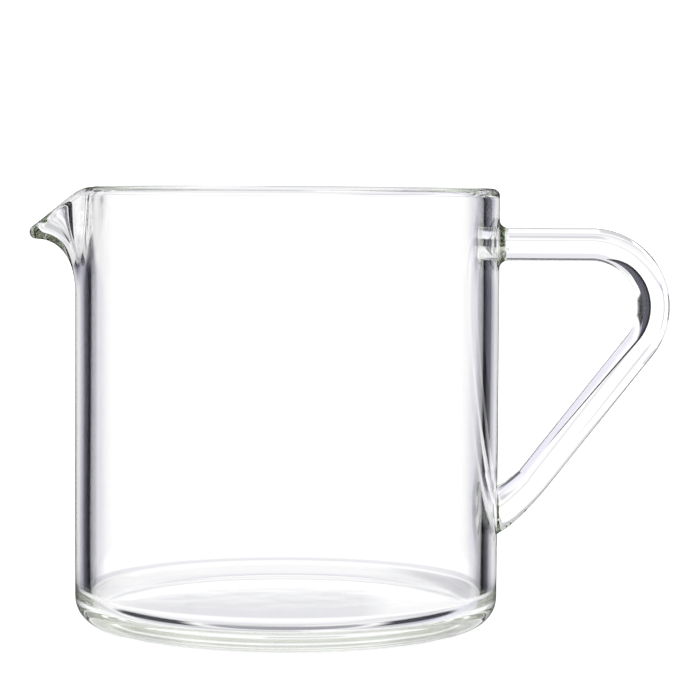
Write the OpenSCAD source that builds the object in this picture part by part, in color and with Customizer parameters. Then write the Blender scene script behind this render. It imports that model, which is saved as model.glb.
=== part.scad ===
// Flame-worked glass jug beaker: a round vessel with a flat base and a pulled
// pouring spout, and a bent solid rod handle that is fused to the wall at two seals.
// Origin at the centre of the foot, +Z up, +X towards the handle, -X towards the spout.

/* [Vessel] */
// Outside diameter of the tube that the vessel is made from
tube_od = 90; // [85:1:100]
// Thickness of the tube's wall
wall_t = 3.3; // [2.6:0.1:4]
// Height from the foot to the top of the rim
vessel_h = 92.7; // [90:0.1:120]
// Thickness of the floor at its middle
floor_t = 4.2; // [3:0.1:4.5]
// Outside radius of the rounded heel
heel_r = 5.8; // [4.5:0.1:7]
// Inside radius where the floor turns up into the wall
floor_fillet_r = 3.5; // [2.5:0.1:5]

/* [Pouring spout] */
// How far the spout stands out past the wall
spout_reach = 9.8; // [7:0.1:11]
// How far the spout's lip drops below the rim at its middle
spout_drop = 9.75; // [8:0.05:12]
// Distance below the rim at which the wall starts to swell into the spout
spout_depth = 22.7; // [20:0.1:26]
// Half of the angle that the spout takes up round the rim
spout_half_angle = 27; // [24:1:32]
// How much the bend at the sides of the spout is drawn in to a narrow channel
spout_pinch = 6; // [4:0.5:7]
// Thickness of the glass at the spout's lip
spout_lip_t = 2.9; // [2:0.1:3.2]
// How much narrower the channel is than the outside of the spout
spout_flank = 1.25; // [1:0.05:1.4]

/* [Handle] */
// Diameter of the solid rod
rod_d = 7; // [6:0.1:8.5]
// Height of the upper arm's centre line
upper_arm_z = 80.9; // [76:0.1:82]
// Distance from the vessel's axis to the outside of the bend
handle_reach = 81.6; // [78:0.1:86]
// Radius of the bend, to the rod's centre line
bend_r = 13.3; // [12:0.1:15]
// Slope of the lower arm, measured from the level
lower_arm_slope = 51.8; // [50:0.1:54]
// Height of the middle of the lower seal on the wall
lower_seal_z = 24.4; // [22:0.1:26]

/* [Seals] */
// Length of the upper seal, from the wall to the plain rod
upper_seal_l = 2.4; // [2:0.1:3.5]
// Radius of the fillet where the upper seal flows out on the wall
upper_seal_fillet = 1.9; // [1.5:0.1:2.2]
// Height of the lower seal where it meets the wall
lower_seal_h = 11.4; // [10.5:0.1:13]
// Width of the lower seal where it meets the wall
lower_seal_w = 8.4; // [7.5:0.1:9.5]
// How far out along the lower arm the seal reaches, from the vessel's axis
lower_seal_reach = 52.4; // [51.5:0.1:54]

/* [Hidden] */
$fn = 96;

tube_r = tube_od / 2;
bore_r = tube_r - wall_t;
rim_r = wall_t / 2;
rim_z = vessel_h - rim_r;
past = 1;
// Radius at which the floor starts to turn up into the wall
corner_r = bore_r - floor_fillet_r;

// Spout, worked out in half-planes through the vessel's axis
spout_z = vessel_h - spout_depth;
spout_cols = 36;
skin_rows = 14;
lip_rows = 6;
lip_r = spout_lip_t / 2;
tip_z = vessel_h - spout_drop;
tip_x = tube_r + spout_reach - lip_r;
// Shares of the spout's depth and reach at which its skins start and stop turning outwards
out_share = [0.33, 0.31];
in_share = [0.40, 0.37];
// Control points of the outer and inner skins down the middle of the spout
spout_out = [
    [tube_r, spout_z],
    [tube_r, spout_z + out_share[1] * spout_depth],
    [tube_r + out_share[0] * spout_reach, tip_z - lip_r],
    [tip_x, tip_z - lip_r]
];
spout_in = [
    [bore_r, spout_z],
    [bore_r, spout_z + in_share[1] * spout_depth],
    [bore_r + in_share[0] * spout_reach, tip_z + lip_r],
    [tip_x, tip_z + lip_r]
];

// Handle
rod_r = rod_d / 2;
bend_x = handle_reach - rod_r - bend_r;
bend_z = upper_arm_z - bend_r;
bend_turn = 180 - lower_arm_slope;
arm_dir = [-cos(lower_arm_slope), -sin(lower_arm_slope)];
bend_end = [bend_x + bend_r * sin(lower_arm_slope), bend_z - bend_r * cos(lower_arm_slope)];
upper_seal_x = tube_r + upper_seal_l;
lower_arm_l = (bend_end[0] - lower_seal_reach) / cos(lower_arm_slope);
lower_arm_end = bend_end + lower_arm_l * arm_dir;
rod_sides = 36;
bend_rings = 26;

// Lower seal: control points of its middle, and how soon it narrows to the rod
seal_lead = 0.5;
seal_knee = [2.2, 0.6];
seal_path = [
    [tube_r - past, lower_seal_z],
    [tube_r + seal_lead, lower_seal_z],
    [tube_r + seal_knee[0], lower_seal_z + seal_knee[1]],
    lower_arm_end
];
seal_ease = 0.7;
seal_rings = 12;
seal_sides = 32;
wall_cut_fn = 360;

// Point at t on the cubic curve with control points p
function cubic(p, t) =
    pow(1 - t, 3) * p[0] + 3 * t * pow(1 - t, 2) * p[1]
    + 3 * t * t * (1 - t) * p[2] + pow(t, 3) * p[3];

function mix(a, b, t) = (1 - t) * a + t * b;

// How far the spout is pulled out at angle a from its middle: 1 at the middle, 0 at its sides
function pull(a) = pow(cos(90 * a / spout_half_angle), spout_pinch);

// Radius and height on one skin of the spout, from v = 0 at its foot to v = 1 at the lip
function skin(p, w, v) = mix([p[0][0], mix(spout_z, rim_z, v)], cubic(p, v), w);

// Half circle over the lip, from the end o of the outer skin to the end i of the inner skin
function lip(o, i, k) =
    let (c = (o + i) / 2, d = (o - i) / 2, a = 180 * k / lip_rows)
    c + cos(a) * d + sin(a) * [-d[1], d[0]];

// Closed section of the spout at pull w: up the outer skin, over the lip, down the inner skin
function spout_section(w) = concat(
    [for (k = [0:skin_rows]) skin(spout_out, w, k / skin_rows)],
    let (o = skin(spout_out, w, 1), i = skin(spout_in, pow(w, spout_flank), 1))
    [for (k = [1:lip_rows - 1]) lip(o, i, k)],
    [for (k = [skin_rows:-1:0]) skin(spout_in, pow(w, spout_flank), k / skin_rows)]
);

// Quads, as pairs of triangles, that join point k of one section to the next section
function side_faces(cols, rows) =
    [for (c = [0:cols - 2], k = [0:rows - 1])
        let (a = c * rows + k, b = c * rows + (k + 1) % rows)
        each [[a, a + rows, b], [a + rows, b + rows, b]]];

// Strip of triangles over the end of a section whose two sides mirror each other
function strip_end(first, rows) =
    let (last = first + rows - 1)
    [for (k = [0:floor(rows / 2) - 1]) each concat(
        [[first + k, first + k + 1, last - k]],
        k + 1 < rows - 2 - k ? [[first + k + 1, last - k - 1, last - k]] : []
    )];

// Single face over the end of a section
function flat_end(first, rows) = [[for (k = [0:rows - 1]) first + k]];

function turned(faces) = [for (f = faces) [for (k = [len(f) - 1:-1:0]) f[k]]];

// Wedge about -X that bounds the spout
module spout_window() {
    far = 2 * tube_od;
    translate([0, 0, spout_z])
        linear_extrude(height = spout_depth + past)
        polygon([
            [0, 0],
            [-far, far * tan(spout_half_angle)],
            [-far, -far * tan(spout_half_angle)]
        ]);
}

// What is rounded off the outside of the heel, in section
module heel_cut() {
    difference() {
        translate([tube_r - heel_r, -past]) square([heel_r + past, heel_r + past]);
        translate([tube_r - heel_r, heel_r]) circle(r = heel_r);
    }
}

// Section of the space over the floor, with its rounded corner
module floor_space() {
    corner = [bore_r - floor_fillet_r, floor_t + floor_fillet_r];
    difference() {
        translate([0, floor_t - past]) square([bore_r, vessel_h]);
        difference() {
            translate([corner[0], floor_t - 2 * past])
                square([floor_fillet_r + past, floor_fillet_r + 2 * past]);
            translate(corner) circle(r = floor_fillet_r);
        }
    }
}

// Tube from the floor up, with the floor's fillet inside and a fire-polished rim
module vessel_wall() {
    color("gainsboro")
        difference() {
            rotate_extrude() {
                difference() {
                    translate([corner_r, floor_t]) square([tube_r - corner_r, rim_z - floor_t]);
                    heel_cut();
                    floor_space();
                }
                translate([bore_r + rim_r, rim_z]) circle(r = rim_r);
            }
            spout_window();
        }
}

// Flat disc that closes the tube, with the lower part of the rounded heel
module base() {
    color("lightgray")
        rotate_extrude()
        difference() {
            square([tube_r, floor_t]);
            heel_cut();
        }
}

module pouring_spout() {
    sections = [for (c = [0:spout_cols])
        let (a = mix(-spout_half_angle, spout_half_angle, c / spout_cols))
        [for (q = spout_section(pull(a))) [-q[0] * cos(a), q[0] * sin(a), q[1]]]];
    rows = len(sections[0]);
    color("whitesmoke")
        polyhedron(
            points = [for (s = sections) each s],
            faces = concat(
                strip_end(0, rows),
                side_faces(spout_cols + 1, rows),
                turned(strip_end(spout_cols * rows, rows))
            ),
            convexity = 6
        );
}

// Solid rod: upper arm, one bend, and a sloping lower arm, as rings along its centre line.
// Each station is the ring's centre and the direction from the bend's centre, in the XZ plane.
module handle_rod() {
    stations = concat(
        [[upper_seal_x, upper_arm_z, 90]],
        [for (k = [0:bend_rings])
            let (a = 90 - bend_turn * k / bend_rings)
            [bend_x + bend_r * cos(a), bend_z + bend_r * sin(a), a]],
        [[lower_arm_end[0], lower_arm_end[1], 90 - bend_turn]]
    );
    color("azure")
        polyhedron(
            points = [for (s = stations, k = [0:rod_sides - 1])
                let (a = 360 * k / rod_sides, out = rod_r * cos(a))
                [s[0] + out * cos(s[2]), -rod_r * sin(a), s[1] + out * sin(s[2])]],
            faces = concat(
                flat_end(0, rod_sides),
                side_faces(len(stations), rod_sides),
                turned(flat_end((len(stations) - 1) * rod_sides, rod_sides))
            ),
            convexity = 6
        );
}

// Collar of glass that flows from the upper arm out on to the wall
module upper_seal() {
    foot_r = rod_r + upper_seal_fillet;
    color("darkkhaki")
        difference() {
            translate([0, 0, upper_arm_z])
                rotate([0, 90, 0])
                rotate_extrude()
                difference() {
                    translate([0, tube_r - past]) square([foot_r, upper_seal_l + past]);
                    translate([foot_r, tube_r + upper_seal_fillet])
                        circle(r = upper_seal_fillet);
                    translate([rod_r, tube_r + upper_seal_fillet])
                        square([foot_r, upper_seal_l]);
                }
            cylinder(r = tube_r, h = vessel_h, $fn = wall_cut_fn);
        }
}

// Knuckle of glass that turns the sloping arm square on to the wall
module lower_seal() {
    rings = [for (c = [0:seal_rings])
        let (
            t = c / seal_rings,
            m = cubic(seal_path, t),
            lean = lower_arm_slope * t,
            up = mix(lower_seal_h / 2, rod_r, pow(t, seal_ease)),
            side = mix(lower_seal_w / 2, rod_r, pow(t, seal_ease))
        )
        [for (k = [0:seal_sides - 1])
            let (a = 360 * k / seal_sides, h = up * cos(a))
            [m[0] - h * sin(lean), -side * sin(a), m[1] + h * cos(lean)]]];
    color("darkkhaki")
        difference() {
            polyhedron(
                points = [for (r = rings) each r],
                faces = concat(
                    flat_end(0, seal_sides),
                    side_faces(seal_rings + 1, seal_sides),
                    turned(flat_end(seal_rings * seal_sides, seal_sides))
                ),
                convexity = 4
            );
            cylinder(r = tube_r, h = vessel_h, $fn = wall_cut_fn);
        }
}

vessel_wall();
base();
pouring_spout();
handle_rod();
upper_seal();
lower_seal();
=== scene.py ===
"""Looks of a flame-worked glass jug beaker, built round its packed frame.

The vessel is one glass surface with its rim, base and pulled spout, and the handle is a bent
solid rod joined to the wall by two seals. All lengths are in metres in the part's own frame.
"""

import math

import bpy
import numpy as np
from mathutils import Matrix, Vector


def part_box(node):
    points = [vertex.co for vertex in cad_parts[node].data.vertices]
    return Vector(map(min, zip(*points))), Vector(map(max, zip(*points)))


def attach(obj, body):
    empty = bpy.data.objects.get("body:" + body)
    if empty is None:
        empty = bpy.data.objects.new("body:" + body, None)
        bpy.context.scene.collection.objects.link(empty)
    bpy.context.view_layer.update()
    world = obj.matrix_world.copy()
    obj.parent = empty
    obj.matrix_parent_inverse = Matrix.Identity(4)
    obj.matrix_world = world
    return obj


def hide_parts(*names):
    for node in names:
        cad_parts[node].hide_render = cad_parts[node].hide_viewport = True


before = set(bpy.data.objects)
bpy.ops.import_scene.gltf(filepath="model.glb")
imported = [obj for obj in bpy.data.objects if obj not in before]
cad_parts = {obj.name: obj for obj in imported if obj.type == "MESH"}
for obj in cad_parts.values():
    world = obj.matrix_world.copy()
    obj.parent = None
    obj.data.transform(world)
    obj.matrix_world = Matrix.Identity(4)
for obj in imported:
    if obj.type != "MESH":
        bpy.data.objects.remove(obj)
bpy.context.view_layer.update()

bl_info = {
    "name": "Glass jug beaker",
    "version": (1, 0, 0),
    "blender": (4, 5, 0),
    "location": "View3D > Sidebar > Glass jug",
    "description": "Builds a glass jug beaker with a pulled spout and a rod handle",
    "category": "Add Mesh",
}

MM = 0.001
# Gap left between two pieces of glass that are fused in the real object
GAP = 0.01 * MM
BODY = "root"

WALL_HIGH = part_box("vessel_wall")[1]
BASE_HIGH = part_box("base")[1]
SPOUT_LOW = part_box("pouring_spout")[0]
ROD_LOW, ROD_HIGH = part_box("handle_rod")


# ---------------------------------------------------------------- settings


def length(name, description, default):
    """Property for a length in metres."""
    return bpy.props.FloatProperty(
        name=name, description=description, default=default, unit="LENGTH", precision=5
    )


def angle(name, description, degrees):
    """Property for an angle, given in degrees."""
    return bpy.props.FloatProperty(
        name=name, description=description, default=math.radians(degrees), subtype="ANGLE"
    )


def plain(name, description, default):
    """Property for a number with no unit."""
    return bpy.props.FloatProperty(name=name, description=description, default=default)


def colour(name, description, code):
    """Property for an sRGB colour, as hex."""
    return bpy.props.StringProperty(name=name, description=description, default=code)


class JugVesselSizes(bpy.types.PropertyGroup):
    """Sizes of the round vessel."""

    tube_r: length("Tube radius", "Outside radius of the drawn tube", WALL_HIGH.x)
    wall_t: length("Wall", "Thickness of the tube's wall", 3.3 * MM)
    floor_z: length("Floor", "Height of the floor inside", BASE_HIGH.z)
    rim_top: length("Rim", "Height of the top of the rim", WALL_HIGH.z)
    heel_r: length("Heel", "Outside radius of the rounded heel", 5.8 * MM)
    fillet_r: length("Fillet", "Inside radius where the floor meets the wall", 3.5 * MM)
    wave: length("Waves", "Height of the slow waves that drawing leaves in the tube", 0.03 * MM)


class JugSpoutSizes(bpy.types.PropertyGroup):
    """Sizes of the pulled pouring spout."""

    foot_z: length("Foot", "Height at which the wall starts to swell", SPOUT_LOW.z)
    tip_x: length("Tip", "Distance of the tip from the axis", -SPOUT_LOW.x)
    drop: length("Drop", "How far the lip falls below the rim", 9.75 * MM)
    half_angle: angle("Half angle", "Half of the rim that the spout takes up", 27)
    pinch: plain("Pinch", "How much the channel is drawn in", 6.0)
    flank: plain("Flank", "How much narrower the channel is than the outside", 1.25)
    lip_t: length("Lip", "Thickness of the glass at the lip", 2.9 * MM)


class JugHandleSizes(bpy.types.PropertyGroup):
    """Sizes of the bent rod."""

    rod_r: length("Rod radius", "Radius of the solid rod", (ROD_HIGH.y - ROD_LOW.y) / 2)
    start_x: length("Start", "Where the plain rod starts on the upper arm", ROD_LOW.x)
    reach: length("Reach", "Distance of the outside of the bend from the axis", ROD_HIGH.x)
    arm_top: length("Arm", "Height of the top of the upper arm", ROD_HIGH.z)
    bend_r: length("Bend", "Radius of the bend to the rod's centre line", 13.3 * MM)
    slope: angle("Slope", "Slope of the lower arm from the level", 51.8)
    end_x: length("End", "Where the lower arm's centre line ends", 52.4 * MM)


class JugSealSizes(bpy.types.PropertyGroup):
    """Sizes of the two seals where the rod is fused to the wall."""

    upper_l: length("Upper length", "Length of the upper collar", 2.4 * MM)
    fillet: length("Fillet", "Radius at which the upper collar flows on to the wall", 1.9 * MM)
    lower_z: length("Lower height", "Height of the middle of the lower seal", 24.4 * MM)
    lower_h: length("Lower tall", "Height of the lower seal on the wall", 11.4 * MM)
    lower_w: length("Lower wide", "Width of the lower seal on the wall", 8.4 * MM)
    dent: length("Dent", "How far the wall sinks in behind a seal", 0.35 * MM)


class JugGlass(bpy.types.PropertyGroup):
    """Colours of the glass, as sRGB hex."""

    tint: colour("Tint", "Colour that a long path through the glass turns", "#dfe6d2")
    density: plain("Density", "Absorption of the clear glass, per metre", 3.0)
    ior: plain("IOR", "Refractive index of borosilicate glass", 1.473)


class JugStage(bpy.types.PropertyGroup):
    """Floor, light and camera."""

    distance: length("Distance", "Camera's distance in front of the axis", 0.60098)
    height: length("Height", "Camera's height over the foot", 0.09841)
    pan: angle("Pan", "Turn of the camera to the right", 1.274)
    tilt: angle("Tilt", "Downward tilt of the camera", 3.829)
    roll: angle("Roll", "Turn about the line of sight", 0.362)
    lens: plain("Lens", "Focal length in millimetres", 145.34)
    floor_r: length("Floor", "Radius of the floor", 6.0)
    panel_x: length("Panel", "Distance of the lit panel to the side", 0.048)
    panel_near: length("Panel near", "Distance of the panel's near edge behind the axis", 0.032)
    panel_far: length("Panel far", "Distance of the panel's far edge behind the axis", 0.075)
    panel_low: length("Panel low", "Height of the panel's lower edge", 0.02)
    panel_high: length("Panel high", "Height of the panel's upper edge", 0.079)
    flag_near: length("Flag near", "Distance to the side of the flag's near edge", 0.0985)
    flag_step: length("Flag step", "Distance to the side at which the flag's foot ends", 0.107)
    flag_far: length("Flag far", "Distance to the side of the flag's far edge", 0.25)
    flag_shift: length("Flag shift", "How much further aside than back the flag stands", 0.006)
    flag_z: length("Flag bottom", "Height of the flag's bottom past its foot", 0.04)
    flag_top: length("Flag top", "Height of the flag's top", 0.14)
    wall_r: length("Wall radius", "Radius of the dark wall", 0.1)
    wall_h: length("Wall height", "Height of the dark wall's top", 0.13)
    wall_drop: length("Wall drop", "Depth of the dark wall's foot under the floor", 0.03)
    wall_gap: angle("Wall gap", "Half of the dark wall's opening behind the object", 25)
    wall_tone: colour("Wall tone", "Colour of the dark wall", "#20202a")


SETTINGS = {
    "jug_vessel": JugVesselSizes,
    "jug_spout": JugSpoutSizes,
    "jug_handle": JugHandleSizes,
    "jug_seals": JugSealSizes,
    "jug_glass": JugGlass,
    "jug_stage": JugStage,
}


# ---------------------------------------------------------------- surfaces


def mix(a, b, t):
    """Straight blend from a at t = 0 to b at t = 1."""
    return (1 - t) * a + t * b


def cubic(points, t):
    """(1-t)^3 p0 + 3t(1-t)^2 p1 + 3t^2(1-t) p2 + t^3 p3, for an array of t."""
    p = np.asarray(points, dtype=float)
    t = np.asarray(t, dtype=float)[..., None]
    return (
        (1 - t) ** 3 * p[0] + 3 * t * (1 - t) ** 2 * p[1] + 3 * t**2 * (1 - t) * p[2] + t**3 * p[3]
    )


def stretches(*parts):
    """Even steps over each (start, end, count) stretch in turn, each stretch without its end."""
    return np.concatenate([np.linspace(a, b, n, endpoint=False) for a, b, n in parts])


def steps_between(count):
    """Shares of count even steps, without 0 and 1."""
    return np.linspace(0, 1, count + 1)[1:-1]


def circle(sides):
    """Angles of a ring's points, as a column."""
    return np.linspace(0, 2 * math.pi, sides, endpoint=False)[:, None]


def closed_faces(cols, rows):
    """Quads of a grid whose columns wrap round, and a fan of triangles at each pole.

    Point (c, r) has index c * rows + r, and the two poles follow the grid."""
    c = np.arange(cols)[:, None]
    r = np.arange(rows - 1)[None, :]
    right = (c + 1) % cols
    quads = np.stack(
        [c * rows + r, right * rows + r, right * rows + r + 1, c * rows + r + 1], axis=-1
    ).reshape(-1, 4)
    c = np.arange(cols)
    right = (c + 1) % cols
    first = np.stack([np.full(cols, cols * rows), right * rows, c * rows], axis=-1)
    last = np.stack(
        [c * rows + rows - 1, right * rows + rows - 1, np.full(cols, cols * rows + 1)], axis=-1
    )
    return quads, first, last


def signed_volume(points, triangles):
    """Sum of the tetrahedra between the origin and each triangle; positive if faces point out."""
    a, b, c = (points[triangles[:, k]] for k in range(3))
    return float(np.einsum("ij,ij->i", a, np.cross(b, c)).sum() / 6)


def closed_surface(name, grid, poles, materials, second=None):
    """Mesh object from a (cols, rows, 3) grid with a pole at each end.

    second is a (cols, rows - 1) mask of the quads that take the second material."""
    cols, rows = grid.shape[:2]
    points = np.concatenate([grid.reshape(-1, 3), np.asarray(poles, dtype=float)])
    quads, first, last = closed_faces(cols, rows)
    triangles = np.concatenate([quads[:, [0, 1, 2]], quads[:, [0, 2, 3]], first, last])
    if signed_volume(points, triangles) < 0:
        quads, first, last = quads[:, ::-1], first[:, ::-1], last[:, ::-1]
    mesh = bpy.data.meshes.new(name)
    mesh.from_pydata(points, [], [*quads.tolist(), *first.tolist(), *last.tolist()])
    for material in materials:
        mesh.materials.append(material)
    slots = np.zeros(len(mesh.polygons), dtype=np.int32)
    if second is not None:
        marked = np.asarray(second)
        slots[: len(quads)] = marked.reshape(-1)
        slots[len(quads) : len(quads) + cols] = marked[:, 0]
        slots[len(quads) + cols :] = marked[:, -1]
    mesh.polygons.foreach_set("material_index", slots)
    mesh.polygons.foreach_set("use_smooth", np.ones(len(mesh.polygons), dtype=bool))
    mesh.set_sharp_from_angle(angle=math.radians(50))
    mesh.update()
    piece = bpy.data.objects.new(name, mesh)
    bpy.context.collection.objects.link(piece)
    return piece


def round_seal(s, z, centre_z, half_w, half_h, spread=1.8):
    """Bends a grid on the unrolled wall so that the square round a seal becomes its oval foot.

    Inside the square, x and y go to x sqrt(1 - y^2/2) and y sqrt(1 - x^2/2), which turns a square
    into a disc; outside, the bend fades out until spread times the square."""
    x, y = s / half_w, (z - centre_z) / half_h
    m = np.maximum(np.maximum(np.abs(x), np.abs(y)), 1e-9)
    near = np.minimum(m, 1.0)
    qx, qy = x / m, y / m
    bx, by = qx * near, qy * near
    disc_x = bx * np.sqrt(1 - by**2 / 2)
    disc_y = by * np.sqrt(1 - bx**2 / 2)
    fade = np.clip((m - 1) / (spread - 1), 0, 1)
    out_x = mix(disc_x, qx * spread, fade)
    out_y = mix(disc_y, qy * spread, fade)
    inside = m < spread
    return (
        np.where(inside, out_x, x) * half_w,
        np.where(inside, out_y, y) * half_h + centre_z,
    )


def slow_waves(turn, z, seed):
    """Smooth ripple between -1 and 1, from three sine waves round and along the tube."""
    rise = z / (90 * MM)
    return (
        np.sin(3 * turn + 2.1 * rise + seed)
        + 0.6 * np.sin(7 * turn - 4.3 * rise + 1.7 * seed)
        + 0.5 * np.sin(2 * turn + 9.7 * rise + 2.9 * seed)
    ) / 2.1


# Where a skin's curve is led: share of the spout's reach, share of its depth
OUT_SHARE = (0.33, 0.31)
IN_SHARE = (0.40, 0.37)


def spout_skins(v, s):
    """Control points, as (radius, height), of the outer and inner skin down the spout's middle."""
    half = s.lip_t / 2
    tip_z = v.rim_top - s.drop
    depth = v.rim_top - s.foot_z
    reach = s.tip_x - v.tube_r

    def skin(start, share, rise):
        """Straight up from the foot, then out to the lip."""
        return [
            (start, s.foot_z),
            (start, s.foot_z + share[1] * depth),
            (start + share[0] * reach, tip_z + rise),
            (s.tip_x - half, tip_z + rise),
        ]

    return skin(v.tube_r, OUT_SHARE, -half), skin(v.tube_r - v.wall_t, IN_SHARE, half)


def seal_feet(h, w):
    """Middle height, half width and half height of the foot of the upper and the lower seal."""
    arm_z = h.arm_top - h.rod_r
    foot = h.rod_r + w.fillet
    return (arm_z, foot, foot), (w.lower_z, w.lower_w / 2, w.lower_h / 2)


# Turn from the handle at which the vessel's columns change their spacing, in radians
SIDE_TURN = 0.32
# Radius of the innermost ring about the poles of the foot and the floor
POLE_R = 2 * MM
# Height over which the ripples fade in above the floor and the heel
RIPPLE_FADE = 12 * MM
# Turn from the handle within which the outer wall has no ripples, in radians
QUIET_TURN = 0.35
# Ripples of the outer wall as a share of the bore's
OUTSIDE_RIPPLE = 0.5


def columns_round(v, s, upper, lower):
    """Turns of the columns about the axis, close together at the seals and the spout."""
    upper_turn, lower_turn = upper[1] / v.tube_r, lower[1] / v.tube_r
    edge = math.pi - s.half_angle
    half_turn = stretches(
        (0, lower_turn, 7), (lower_turn, upper_turn, 2), (upper_turn, SIDE_TURN, 12),
        (SIDE_TURN, edge, 124), (edge, math.pi, 56),
    )
    return np.sort(np.concatenate([half_turn, -half_turn[:0:-1], [math.pi]]))[:, None]


def rows_up(v, s, upper, lower):
    """Heights of the rows from the heel to the spout's foot, and shares of the way on to the rim.

    Rows lie on the top and the bottom edge of each seal's foot."""
    rim_z = v.rim_top - v.wall_t / 2
    level = stretches(
        (v.heel_r, lower[0] - lower[2], 14),
        (lower[0] - lower[2], lower[0] + lower[2], 14),
        (lower[0] + lower[2], s.foot_z, 42),
    )
    above = stretches(
        (s.foot_z, upper[0] - upper[2], 6),
        (upper[0] - upper[2], upper[0] + upper[2], 14),
        (upper[0] + upper[2], rim_z, 6),
    )
    return level, np.append((above - s.foot_z) / (rim_z - s.foot_z), 1.0)


def pulled_skins(v, s, turn, share):
    """Outer and inner rows, as (radius, height), from the spout's foot to the rim.

    Each is (1 - p) x plain wall + p x the spout's middle curve, with
    p = cos(90 a / half angle)^pinch at turn a from the spout's middle."""
    rim_z = v.rim_top - v.wall_t / 2
    from_spout = math.pi - np.abs(turn)
    pull = np.where(
        from_spout < s.half_angle,
        np.abs(np.cos(math.pi / 2 * np.minimum(from_spout / s.half_angle, 1))) ** s.pinch,
        0,
    )

    def skin(curve, plain_r, power):
        """Plain wall pulled on to the curve by the power of p."""
        plain_wall = np.stack([np.full_like(share, plain_r), mix(s.foot_z, rim_z, share)], axis=-1)
        return mix(plain_wall[None], cubic(curve, share)[None], pull[..., None] ** power)

    outer_curve, inner_curve = spout_skins(v, s)
    return skin(outer_curve, v.tube_r, 1), skin(inner_curve, v.tube_r - v.wall_t, s.flank)


def half_round(outer, inner):
    """Rows of the rim: a half circle over the last row of each skin."""
    over = (math.pi * steps_between(14))[None, :, None]
    middle = (outer + inner) / 2
    half = (outer - inner) / 2
    across = np.stack([-half[..., 1], half[..., 0]], axis=-1)
    return middle + np.cos(over) * half + np.sin(over) * across


def plain_rows(v, s, turn, level):
    """Rows that are alike all round: foot, heel and wall, then bore, fillet and floor."""
    bore = v.tube_r - v.wall_t
    arc = np.linspace(0, math.pi / 2, 11)
    foot_flat, floor_flat = v.tube_r - v.heel_r, bore - v.fillet_r

    def fixed(radii, heights):
        """The same (radius, height) rows in every column."""
        return np.stack(np.broadcast_arrays(radii, heights + 0 * turn), axis=-1)

    outside = [
        fixed(np.linspace(POLE_R, foot_flat, 14)[:-1], 0.0),
        fixed(foot_flat + v.heel_r * np.sin(arc[:-1]), v.heel_r * (1 - np.cos(arc[:-1]))),
        fixed(v.tube_r, level),
    ]
    down = np.linspace(s.foot_z, v.floor_z + v.fillet_r, 52)[1:-1]
    inside = [
        fixed(bore, down),
        fixed(floor_flat + v.fillet_r * np.cos(arc), v.floor_z + v.fillet_r * (1 - np.sin(arc))),
        fixed(np.linspace(floor_flat, POLE_R, 14)[1:], v.floor_z),
    ]
    return outside, inside


def seat_seals(v, turns, outside, feet):
    """Bends the outer rows to the seals' feet: new turns, and a mask of the points under a seal."""
    span, height = turns * v.tube_r, outside[..., 1]
    on_wall = height > v.heel_r
    fused = np.zeros(span.shape, dtype=bool)
    new_span, new_height = span, height
    for centre, half_w, half_h in feet:
        beside, over = np.abs(span) / half_w, np.abs(height - centre) / half_h
        fused |= on_wall & (beside < 1.001) & (over < 1.001)
        new_span, new_height = round_seal(new_span, new_height, centre, half_w, half_h)
    outside[..., 1] = np.where(on_wall, new_height, height)
    return np.where(on_wall, new_span / v.tube_r, turns), fused


def ripple_bore(v, w, turns, inside, feet):
    """Slow waves down the bore, and a slight dent behind each seal."""
    bore = v.tube_r - v.wall_t
    height = inside[..., 1]
    dent = sum(
        np.exp(-((turns * bore / half_w) ** 2) - ((height - centre) / half_h) ** 2)
        for centre, half_w, half_h in feet
    )
    fade = np.clip((height - v.floor_z) / RIPPLE_FADE, 0, 1)
    inside[..., 0] -= fade * (w.dent * dent + v.wave * slow_waves(turns, height, 1.0))


def ripple_outside(v, turns, outside):
    """Slow waves down the outer wall, away from the handle."""
    height = outside[..., 1]
    fade = np.clip((height - v.heel_r) / RIPPLE_FADE, 0, 1)
    quiet = 1 - np.exp(-((turns / QUIET_TURN) ** 2))
    outside[..., 0] += fade * quiet * OUTSIDE_RIPPLE * v.wave * slow_waves(turns, height, 4.0)


def vessel_grid(v, s, h, w):
    """Grid of the whole vessel: columns turn about the axis, rows run along the section.

    The section goes from the middle of the foot out to the heel's arc, up the outer wall, over the
    rim's half circle, down the bore and along the floor's fillet to the middle of the floor."""
    feet = seal_feet(h, w)
    turn = columns_round(v, s, *feet)
    level, share = rows_up(v, s, *feet)
    outer, inner = pulled_skins(v, s, turn, share)
    lip = half_round(outer[:, -1:], inner[:, -1:])
    below, within = plain_rows(v, s, turn, level)
    outside = np.concatenate([*below, outer], axis=1)
    inside = np.concatenate([inner[:, ::-1], *within], axis=1)
    turns_out, turns_lip, turns_in = (
        np.repeat(turn, rows.shape[1], axis=1) for rows in (outside, lip, inside)
    )
    turns_out, fused = seat_seals(v, turns_out, outside, feet)
    ripple_outside(v, turns_out, outside)
    ripple_bore(v, w, turns_in, inside, feet)

    section = np.concatenate([outside, lip, inside], axis=1)
    turns = np.concatenate([turns_out, turns_lip, turns_in], axis=1)
    radius, height = section[..., 0], section[..., 1]
    grid = np.stack([radius * np.cos(turns), radius * np.sin(turns), height], axis=-1)
    mask = np.zeros((grid.shape[0], grid.shape[1] - 1), dtype=bool)
    beside = np.roll(fused, -1, axis=0)
    mask[:, : fused.shape[1] - 1] = fused[:, :-1] & fused[:, 1:] & beside[:, :-1] & beside[:, 1:]
    return grid, mask


# Steps from the rim to the middle of a rod's flat end and of a seal's foot
END_STEPS = 4
FOOT_STEPS = 6


def disc_rows(ring):
    """Rows that grow from a ring's middle out to the ring, as the flat end of a solid."""
    middle = ring.mean(axis=0)
    return middle + (ring[:, None, :] - middle) * steps_between(END_STEPS)[None, :, None]


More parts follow.
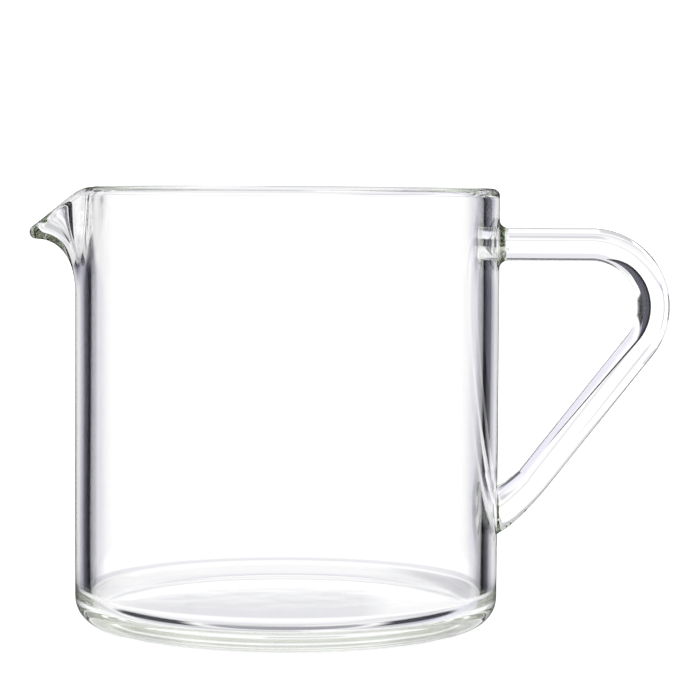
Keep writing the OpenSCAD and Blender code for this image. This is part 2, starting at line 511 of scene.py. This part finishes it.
def fused_ends(grid, first, last):
    """Mask of a piece's quads: true on its first and last rows, where it is fused to the next."""
    mask = np.zeros((grid.shape[0], grid.shape[1] - 1), dtype=bool)
    mask[:, :first] = True
    mask[:, -last:] = True
    return mask


def handle_stations(h):
    """Centre (x, z) and outward direction, from the bend's centre, along the rod."""
    arm_z = h.arm_top - h.rod_r
    bend_x = h.reach - h.rod_r - h.bend_r
    bend_z = arm_z - h.bend_r
    sweep = np.linspace(math.pi / 2, h.slope - math.pi / 2, 73)
    bend = np.stack([bend_x + h.bend_r * np.cos(sweep), bend_z + h.bend_r * np.sin(sweep)], axis=-1)
    along = np.linspace(h.start_x + GAP, bend_x, 25)[:-1]
    upper = np.stack([along, np.full_like(along, arm_z)], axis=-1)
    run = (bend[-1, 0] - h.end_x) / math.cos(h.slope) - GAP
    step = np.linspace(0, run, 49)[1:, None]
    lower = bend[-1] + step * np.array([-math.cos(h.slope), -math.sin(h.slope)])
    centre = np.concatenate([upper, bend, lower])
    facing = np.concatenate(
        [np.full(len(upper), sweep[0]), sweep, np.full(len(lower), sweep[-1])]
    )
    return centre, facing


def rod_grid(h, sides=72):
    """Circle carried along the rod's centre line: centre + r (cos t outward + sin t Y)."""
    centre, facing = handle_stations(h)
    t = circle(sides)
    out = h.rod_r * np.cos(t)
    x = centre[:, 0] + out * np.cos(facing)
    y = h.rod_r * np.sin(t) * np.ones_like(facing)
    z = centre[:, 1] + out * np.sin(facing)
    body = np.stack([x, y, z], axis=-1)
    start, end = disc_rows(body[:, 0]), disc_rows(body[:, -1])[:, ::-1]
    grid = np.concatenate([start, body, end], axis=1)
    poles = [body[:, 0].mean(axis=0), body[:, -1].mean(axis=0)]
    return grid, poles, fused_ends(grid, END_STEPS - 1, END_STEPS - 1)


def wall_x(tube_r, y):
    """Distance along X from the axis plane to just outside the tube at y."""
    return np.sqrt((tube_r + GAP) ** 2 - y**2)


def upper_seal_grid(v, h, w, sides=72):
    """Collar about the upper arm: a quarter circle of the fillet's radius turned about the arm,
    with its broad end lying on the round wall and its narrow end flat against the rod."""
    arm_z = h.arm_top - h.rod_r
    t = circle(sides)
    bend = np.linspace(0, math.pi / 2, 15)
    straight = np.linspace(w.fillet, w.upper_l, 4)[1:]
    foot = steps_between(FOOT_STEPS) * (h.rod_r + w.fillet)
    flare = h.rod_r + w.fillet * (1 - np.sin(bend))
    radius = np.concatenate([foot, flare, np.full_like(straight, h.rod_r)])
    rise = np.concatenate([0 * foot, w.fillet * (1 - np.cos(bend)), straight])
    y = radius * np.sin(t)
    z = arm_z + radius * np.cos(t)
    x = mix(wall_x(v.tube_r, y), v.tube_r, rise / w.upper_l) + rise
    body = np.stack([x, y, z], axis=-1)
    grid = np.concatenate([body, disc_rows(body[:, -1])[:, ::-1]], axis=1)
    poles = [(v.tube_r + GAP, 0, arm_z), body[:, -1].mean(axis=0)]
    return grid, poles, fused_ends(grid, FOOT_STEPS - 1, END_STEPS - 1)


# How far the lower seal runs straight out of the wall, its knee, and how soon it narrows
SEAL_LEAD = 0.5 * MM
SEAL_KNEE = (2.2 * MM, 0.6 * MM)
SEAL_EASE = 0.7


def lower_seal_grid(v, h, w, sides=72):
    """Knuckle from the oval foot on the wall to the end of the sloping arm: an oval whose middle
    follows a cubic curve while it leans from upright to square with the arm."""
    centre, _ = handle_stations(h)
    path = [
        (v.tube_r, w.lower_z),
        (v.tube_r + SEAL_LEAD, w.lower_z),
        (v.tube_r + SEAL_KNEE[0], w.lower_z + SEAL_KNEE[1]),
        centre[-1],
    ]
    t = np.linspace(0, 1, 33)
    middle = cubic(path, t)
    up = mix(w.lower_h / 2, h.rod_r, t**SEAL_EASE)
    side = mix(w.lower_w / 2, h.rod_r, t**SEAL_EASE)
    lean = h.slope * t
    round_oval = circle(sides)
    tall = up * np.cos(round_oval)
    y = side * np.sin(round_oval)
    on_wall = (1 - t) ** 2 * (wall_x(v.tube_r, y) - v.tube_r)
    x = middle[:, 0] - tall * np.sin(lean) + on_wall
    z = middle[:, 1] + tall * np.cos(lean)
    body = np.stack([x, y, z], axis=-1)
    scale = steps_between(FOOT_STEPS)
    foot_y = body[:, :1, 1] * scale
    foot_z = w.lower_z + (body[:, :1, 2] - w.lower_z) * scale
    foot = np.stack([wall_x(v.tube_r, foot_y), foot_y, foot_z], axis=-1)
    grid = np.concatenate([foot, body, disc_rows(body[:, -1])[:, ::-1]], axis=1)
    poles = [(v.tube_r + GAP, 0, w.lower_z), body[:, -1].mean(axis=0)]
    return grid, poles, fused_ends(grid, FOOT_STEPS - 1, END_STEPS - 1)


# ---------------------------------------------------------------- materials


def linear(code):
    """sRGB hex to linear RGBA."""
    parts = [int(code[k : k + 2], 16) / 255 for k in (1, 3, 5)]
    return (*(p / 12.92 if p <= 0.04045 else ((p + 0.055) / 1.055) ** 2.4 for p in parts), 1.0)


def node(tree, kind, settings=None, links=None, **values):
    """Adds a node: settings are its properties, values its sockets, links come from sockets."""
    made = tree.nodes.new(kind)
    for key, value in (settings or {}).items():
        setattr(made, key, value)
    for key, value in values.items():
        made.inputs[key.replace("_", " ")].default_value = value
    for key, source in (links or {}).items():
        tree.links.new(source, made.inputs[key])
    return made


def new_material(name):
    """Empty node material, and its tree."""
    material = bpy.data.materials.new(name)
    material.use_nodes = True
    material.node_tree.nodes.clear()
    return material, material.node_tree


# Width of the faint streaks in each kind of glass, and how much longer than wide they are
TUBE_STREAK = 9 * MM
ROD_STREAK = 14 * MM
SEAL_STREAK = 4 * MM
STREAK_STRETCH = 8


def glass_node(tree, ior, links=None):
    """Colourless, quite smooth glass of a refractive index."""
    return node(
        tree, "ShaderNodeBsdfPrincipled", links=links,
        Base_Color=(1, 1, 1, 1), Roughness=0.0, IOR=ior, Transmission_Weight=1.0,
    )


def fill_glass(tree, shader, g):
    """Ends a glass material: its surface, and inside it the tint of a long path."""
    inside = node(tree, "ShaderNodeVolumeAbsorption", Color=linear(g.tint), Density=g.density)
    node(
        tree, "ShaderNodeOutputMaterial",
        links={"Surface": shader.outputs["BSDF"], "Volume": inside.outputs["Volume"]},
    )


def glass_material(name, g, streak):
    """Clear borosilicate glass with the faint upright streaks of a drawn or melted surface."""
    material, tree = new_material(name)
    place = node(tree, "ShaderNodeTexCoord").outputs["Object"]
    spread = node(
        tree, "ShaderNodeMapping", links={"Vector": place},
        Scale=(1 / streak, 1 / streak, 1 / (STREAK_STRETCH * streak)),
    )
    streaks = node(
        tree, "ShaderNodeTexNoise", links={"Vector": spread.outputs["Vector"]},
        Scale=1.0, Detail=1.0, Roughness=0.4,
    )
    bump = node(
        tree, "ShaderNodeBump", links={"Height": streaks.outputs["Fac"]},
        Strength=0.05, Distance=0.1 * MM,
    )
    fill_glass(tree, glass_node(tree, g.ior, {"Normal": bump.outputs["Normal"]}), g)
    return material


def fused_material(name, g):
    """Face where two pieces of glass have run together: light passes with no bend."""
    material, tree = new_material(name)
    fill_glass(tree, glass_node(tree, 1.0), g)
    return material


def floor_material():
    """Matt white acrylic sheet, lit from above and glowing a little."""
    material, tree = new_material("white_acrylic_sheet")
    shader = node(
        tree, "ShaderNodeBsdfPrincipled",
        Base_Color=linear("#f4f4f5"), Roughness=0.7, Specular_IOR_Level=0.0,
        Emission_Color=(1, 1, 1, 1), Emission_Strength=0.7,
    )
    node(tree, "ShaderNodeOutputMaterial", links={"Surface": shader.outputs["BSDF"]})
    return material


# ---------------------------------------------------------------- operators


def add_piece(name, shape, materials, slot, *nodes):
    """Makes one piece from its (grid, poles, mask) and hides the nodes that it stands for."""
    grid, poles, mask = shape
    piece = closed_surface(name, grid, poles, materials, mask)
    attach(piece, BODY)
    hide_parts(*nodes)


def settings():
    """The scene's property groups, in the order of SETTINGS."""
    scene = bpy.context.scene
    return [getattr(scene, name) for name in SETTINGS]


class JUG_OT_vessel(bpy.types.Operator):
    """Make the glass vessel with its base, rim and spout"""

    bl_idname = "jug.vessel"
    bl_label = "Vessel"

    def execute(self, context):
        v, s, h, w, g, _ = settings()
        grid, mask = vessel_grid(v, s, h, w)
        shape = grid, [(0, 0, 0), (0, 0, v.floor_z)], mask
        materials = [
            glass_material("borosilicate_drawn_tube", g, TUBE_STREAK),
            fused_material("borosilicate_fused_face", g),
        ]
        nodes = "vessel_wall", "base", "pouring_spout"
        add_piece("glass_vessel", shape, materials, "clear_glass", *nodes)
        return {"FINISHED"}


class JUG_OT_handle(bpy.types.Operator):
    """Make the bent solid rod"""

    bl_idname = "jug.handle"
    bl_label = "Handle rod"

    def execute(self, context):
        _, _, h, _, g, _ = settings()
        materials = [
            glass_material("borosilicate_solid_rod", g, ROD_STREAK),
            fused_material("rod_fused_end", g),
        ]
        add_piece("glass_handle_rod", rod_grid(h), materials, "rod_glass", "handle_rod")
        return {"FINISHED"}


class JUG_OT_seals(bpy.types.Operator):
    """Make the two seals that join the rod to the wall"""

    bl_idname = "jug.seals"
    bl_label = "Seals"

    def execute(self, context):
        v, _, h, w, g, _ = settings()
        shapes = {"upper_seal": upper_seal_grid(v, h, w), "lower_seal": lower_seal_grid(v, h, w)}
        for name, shape in shapes.items():
            materials = [
                glass_material(name + "_glass", g, SEAL_STREAK),
                fused_material(name + "_fused_face", g),
            ]
            add_piece("glass_" + name, shape, materials, "seal_glass", name)
        return {"FINISHED"}


class JUG_OT_stage(bpy.types.Operator):
    """Make the floor, the light and the camera"""

    bl_idname = "jug.stage"
    bl_label = "Stage"

    def execute(self, context):
        st = context.scene.jug_stage
        make_floor(st)
        make_cards(st)
        make_world(context.scene)
        make_camera(context.scene, st)
        return {"FINISHED"}


def stage_object(name, points, faces, material):
    """Flat object of the stage, which no piece of the jug stands for."""
    mesh = bpy.data.meshes.new(name)
    mesh.from_pydata(points, [], faces)
    mesh.materials.append(material)
    made = bpy.data.objects.new(name, mesh)
    bpy.context.collection.objects.link(made)
    return made


def make_floor(st):
    """Flat round floor just under the foot.

    Glass neither shows nor reflects it, so the light tent is seen through the foot as well."""
    turn = np.linspace(0, 2 * math.pi, 96, endpoint=False)
    drop = 0.02 * MM
    ring = np.stack([np.cos(turn) * st.floor_r, np.sin(turn) * st.floor_r, 0 * turn - drop], axis=-1)
    floor = stage_object("floor", ring, [list(range(len(turn)))], floor_material())
    floor.visible_transmission = False
    floor.visible_glossy = False


def glow_material(name, code):
    """Even glow of one colour, for a card outside the picture."""
    material, tree = new_material(name)
    light = node(tree, "ShaderNodeEmission", Color=linear(code), Strength=1.0)
    node(tree, "ShaderNodeOutputMaterial", links={"Surface": light.outputs["Emission"]})
    return material


def panel_material():
    """Diffusing acrylic panel that glows on one side and is clear on the other."""
    material, tree = new_material("lit_acrylic_panel")
    side = node(tree, "ShaderNodeNewGeometry").outputs["Backfacing"]
    light = node(tree, "ShaderNodeEmission", Color=(1, 1, 1, 1), Strength=1.3)
    clear = node(tree, "ShaderNodeBsdfTransparent")
    both = node(
        tree, "ShaderNodeMixShader",
        links={0: side, 1: light.outputs["Emission"], 2: clear.outputs["BSDF"]},
    )
    node(tree, "ShaderNodeOutputMaterial", links={"Surface": both.outputs["Shader"]})
    return material


def flag_material(near, far):
    """Black card that catches more light towards its far end."""
    material, tree = new_material("black_card")
    place = node(tree, "ShaderNodeTexCoord").outputs["Object"]
    x = node(tree, "ShaderNodeSeparateXYZ", links={"Vector": place}).outputs["X"]
    along = maths(tree, "DIVIDE", maths(tree, "SUBTRACT", x, near), far - near)
    stops = [(share, linear(code)) for share, code in FLAG_TONES]
    light = node(
        tree, "ShaderNodeEmission", links={"Color": ramp(tree, along, stops)}, Strength=1.0
    )
    node(tree, "ShaderNodeOutputMaterial", links={"Surface": light.outputs["Emission"]})
    return material


def hidden_card(name, points, faces, material, seen_through_glass):
    """Card that the camera and the floor can't see, only the glass."""
    card = stage_object(name, points, faces, material)
    card.visible_camera = False
    card.visible_shadow = False
    card.visible_diffuse = False
    card.visible_transmission = seen_through_glass


def make_cards(st):
    """White panel behind the handle, a dark flag beside it and a dark wall all round.

    The panel stands across the X axis and glows towards the handle only. The flag stands edge-on
    to the middle: it is broad over flag_z, narrow under it, and greyer past its near edge. The wall
    is a cylinder about the axis, open behind the object, and only reflections meet it."""
    corners = [
        (st.panel_near, st.panel_low), (st.panel_far, st.panel_low),
        (st.panel_far, st.panel_high), (st.panel_near, st.panel_high),
    ]
    points = [(st.panel_x, y, z) for y, z in corners]
    hidden_card("panel", points, [tuple(range(4))], panel_material(), True)
    outline = [
        (st.flag_near, 0), (st.flag_step, 0), (st.flag_step, st.flag_z),
        (st.flag_far, st.flag_z), (st.flag_far, st.flag_top), (st.flag_near, st.flag_top),
    ]
    points = [(x, x - st.flag_shift, z) for x, z in outline]
    black = flag_material(st.flag_near, st.flag_far)
    hidden_card("flag", points, [tuple(range(len(points)))], black, True)
    turn = np.linspace(st.wall_gap, 2 * math.pi - st.wall_gap, 97)
    rings = [
        np.stack([np.sin(turn) * st.wall_r, np.cos(turn) * st.wall_r, 0 * turn + z], axis=-1)
        for z in (-st.wall_drop, st.wall_h)
    ]
    k, above = np.arange(len(turn) - 1), len(turn)
    faces = np.stack([k, k + 1, k + 1 + above, k + above], axis=-1).tolist()
    dark = glow_material("dark_room_wall", st.wall_tone)
    hidden_card("dark_wall", np.concatenate(rings), faces, dark, False)


# Tone of the flag from its near to its far end
FLAG_TONES = [
    (0, "#06060c"), (0.05, "#10101a"), (0.1, "#50505e"), (0.4, "#4a4a58"), (1, "#40404e"),
]
# Light at eye level: degrees from straight ahead, brightness, colour
EYE_LEVEL = [
    (0, 1.35, "#ffffff"), (14, 1.35, "#ffffff"), (18, 1.15, "#f8f6ff"), (23, 0.68, "#eae8fb"),
    (27, 0.42, "#e4e2fa"), (30.5, 0.07, "#d0cef0"), (35, 0.012, "#b0b0e0"), (44, 0.03, "#b8b8e0"),
    (56, 0.14, "#d0d0ea"), (68, 0.4, "#e4e4f6"), (82, 0.92, "#ffffff"), (180, 0.92, "#ffffff"),
]
# How much of the eye-level light there is: degrees above the level, share
EYE_LEVEL_BAND = [(-13, 0), (-10.5, 1), (4.5, 1), (7, 0)]
# Light everywhere else: degrees from straight ahead, brightness
AROUND = [(0, 1.1), (85, 1.1), (110, 0.84), (180, 0.84)]
# Darker parts of the tent: colour, then (degrees, share) round the tent and up it
PATCHES = {
    "gap_under_top_light": ("#5c5c64", [(-70, 0), (-50, 1), (50, 1), (70, 0)],
                            [(38, 0), (44, 1), (56, 1), (62, 0)]),
    "back_panel_top": ("#e4e4ea", [(-50, 0), (-40, 1), (40, 1), (50, 0)],
                       [(19, 0), (22, 1), (36, 1), (40, 0)]),
    "back_panel_foot": ("#dcdce2", [(-36, 0), (-26, 1), (14, 1), (26, 0)],
                        [(-34, 0), (-31, 1), (-29, 1), (-26, 0.4), (-20, 0.3), (-16, 0)]),
    "table_edge": ("#d4d4d8", [(-30, 0), (-22, 1), (22, 1), (30, 0)],
                   [(-12.5, 0), (-11.5, 1), (-9, 1), (-8.3, 0)]),
    "over_table_edge": ("#dadade", [(-12, 0), (-8, 1), (2.6, 1), (4, 0)],
                        [(4.5, 0), (6.5, 1), (11, 1), (14, 0)]),
    "under_left": ("#30303c", [(-88, 0), (-72, 1), (-40, 1), (-30, 0)],
                   [(-64, 0), (-56, 1), (-38, 1), (-32, 0)]),
    "under_right": ("#30303c", [(30, 0), (40, 1), (72, 1), (88, 0)],
                    [(-64, 0), (-56, 1), (-38, 1), (-32, 0)]),
    "under_front": ("#d2d2d6", [(-40, 0), (-30, 1), (2, 1), (5, 0)],
                    [(-64, 0), (-56, 1), (-40, 1), (-34, 0)]),
    "under_front_right": ("#d2d2d6", [(12, 0), (16, 1), (30, 1), (40, 0)],
                          [(-64, 0), (-56, 1), (-40, 1), (-34, 0)]),
    "low_right": ("#d8d8dc", [(2, 0), (5, 1), (10, 1), (13, 0)],
                  [(-27, 0), (-21, 1), (-17, 1), (-15, 0)]),
    "level_right": ("#48484f", [(29.5, 0), (31.5, 1), (44, 1), (54, 0)],
                    [(-13, 0), (-10, 1), (3, 1), (6, 0)]),
    "straight_down": ("#a0a0a8", [(-180, 1), (180, 1)], [(-90, 1), (-70, 1), (-62, 0)]),
    "floor_right": ("#e9e8f4", [(16, 0), (27, 1), (62, 1), (72, 0)],
                    [(-52, 0), (-42, 1), (-22, 1), (-16, 0)]),
    "far_floor_right": ("#b4b5be", [(56, 0), (68, 1), (92, 1), (104, 0)],
                        [(-52, 0), (-42, 1), (-28, 1), (-22, 0)]),
    "high_left": ("#14141c", [(-112, 0), (-100, 1), (-50, 1), (-40, 0)],
                  [(16, 0), (24, 1), (42, 1), (48, 0)]),
}


def scaled(code, power):
    """Linear colour of a hex code times a brightness."""
    tone = linear(code)
    return (tone[0] * power, tone[1] * power, tone[2] * power, 1)


def ramp(tree, source, stops):
    """Smooth colour ramp with a stop for each (place, colour)."""
    made = node(tree, "ShaderNodeValToRGB", links={"Fac": source})
    made.color_ramp.interpolation = "EASE"
    elements = made.color_ramp.elements
    elements.remove(elements[0])
    elements[0].position, elements[0].color = stops[0]
    for place, shade in stops[1:]:
        elements.new(place).color = shade
    return made.outputs["Color"]


def maths(tree, operation, first, second=0.0):
    """Math node; either side may be a socket or a number."""
    made = node(tree, "ShaderNodeMath", {"operation": operation})
    for socket, value in zip(made.inputs, (first, second)):
        if isinstance(value, (int, float)):
            socket.default_value = value
        else:
            tree.links.new(value, socket)
    return made.outputs["Value"]


def blend(tree, kind, share, first, second):
    """Colour mix node; each side may be a socket or a colour."""
    made = node(tree, "ShaderNodeMix", {"data_type": "RGBA", "blend_type": kind})
    for place, value in ((0, share), (6, first), (7, second)):
        if isinstance(value, (int, float, tuple)):
            made.inputs[place].default_value = value
        else:
            tree.links.new(value, made.inputs[place])
    return made.outputs[2]


def make_world(scene):
    """Soft light tent: bright behind the object and dark to both sides of it at eye level.

    The bounces are many because light is trapped for long in the spout and the seals."""
    world = bpy.data.worlds.new("light_tent")
    world.use_nodes = True
    tree = world.node_tree
    tree.nodes.clear()
    ray = node(tree, "ShaderNodeTexCoord").outputs["Generated"]
    part = node(tree, "ShaderNodeSeparateXYZ", links={"Vector": ray}).outputs
    aside = maths(tree, "ARCTAN2", part["X"], part["Y"])
    turn = maths(tree, "ADD", maths(tree, "DIVIDE", aside, 2 * math.pi), 0.5)
    rise = maths(tree, "ADD", maths(tree, "DIVIDE", maths(tree, "ARCSINE", part["Z"]), math.pi), 0.5)

    def round_ramp(stops):
        """Ramp by degrees to the side of straight ahead."""
        return ramp(tree, turn, [(0.5 + a / 360, shade) for a, shade in stops])

    def rise_ramp(stops):
        """Ramp by degrees above the level."""
        return ramp(tree, rise, [(0.5 + a / 180, shade) for a, shade in stops])

    def shares(stops):
        """Stops of grey for (degrees, share) pairs."""
        return [(a, (k, k, k, 1)) for a, k in stops]

    def both_sides(stops):
        """The same stops to the left as to the right."""
        return [(-a, shade) for a, shade in reversed(stops[1:])] + stops

    eye_level = round_ramp(both_sides([(a, scaled(code, power)) for a, power, code in EYE_LEVEL]))
    around = round_ramp(both_sides(shares(AROUND)))
    level = rise_ramp(shares(EYE_LEVEL_BAND))
    light = blend(tree, "MIX", level, around, eye_level)
    for code, across, up in PATCHES.values():
        mask = blend(tree, "MULTIPLY", 1.0, round_ramp(shares(across)), rise_ramp(shares(up)))
        light = blend(tree, "MULTIPLY", mask, light, linear(code))
    sky = node(tree, "ShaderNodeBackground", links={"Color": light}, Strength=1.0)
    node(tree, "ShaderNodeOutputWorld", links={"Surface": sky.outputs["Background"]})
    scene.world = world
    scene.view_settings.view_transform = "Standard"
    scene.cycles.max_bounces = 192
    scene.cycles.transmission_bounces = 192
    scene.cycles.glossy_bounces = 96
    scene.cycles.transparent_max_bounces = 32


def make_camera(scene, st):
    """Long lens in front of the vessel, a little above its middle and tilted down."""
    data = bpy.data.cameras.new("camera")
    data.lens = st.lens
    data.sensor_width = 36
    camera = bpy.data.objects.new("camera", data)
    bpy.context.collection.objects.link(camera)
    camera.location = (0, -st.distance, st.height)
    camera.rotation_mode = "QUATERNION"
    turn = (
        Matrix.Rotation(-st.pan, 3, "Z")
        @ Matrix.Rotation(math.pi / 2 - st.tilt, 3, "X")
        @ Matrix.Rotation(st.roll, 3, "Z")
    )
    camera.rotation_quaternion = turn.to_quaternion()
    scene.camera = camera


class JUG_PT_panel(bpy.types.Panel):
    """Sizes and colours of the jug, and a button for each group of pieces"""

    bl_idname = "JUG_PT_panel"
    bl_label = "Glass jug"
    bl_space_type = "VIEW_3D"
    bl_region_type = "UI"
    bl_category = "Glass jug"

    def draw(self, context):
        for operator in OPERATORS:
            self.layout.operator(operator.bl_idname)
        for name, group in SETTINGS.items():
            box = self.layout.box()
            box.label(text=group.__doc__)
            for key in group.__annotations__:
                box.prop(getattr(context.scene, name), key)


OPERATORS = [JUG_OT_stage, JUG_OT_vessel, JUG_OT_handle, JUG_OT_seals]
CLASSES = [*SETTINGS.values(), *OPERATORS, JUG_PT_panel]


def register():
    for cls in CLASSES:
        bpy.utils.register_class(cls)
    for name, group in SETTINGS.items():
        setattr(bpy.types.Scene, name, bpy.props.PointerProperty(type=group))


def unregister():
    for name in SETTINGS:
        delattr(bpy.types.Scene, name)
    for cls in reversed(CLASSES):
        bpy.utils.unregister_class(cls)


def main():
    register()
    bpy.ops.jug.stage()
    bpy.ops.jug.vessel()
    bpy.ops.jug.handle()
    bpy.ops.jug.seals()


if __name__ == "__main__":
    main()
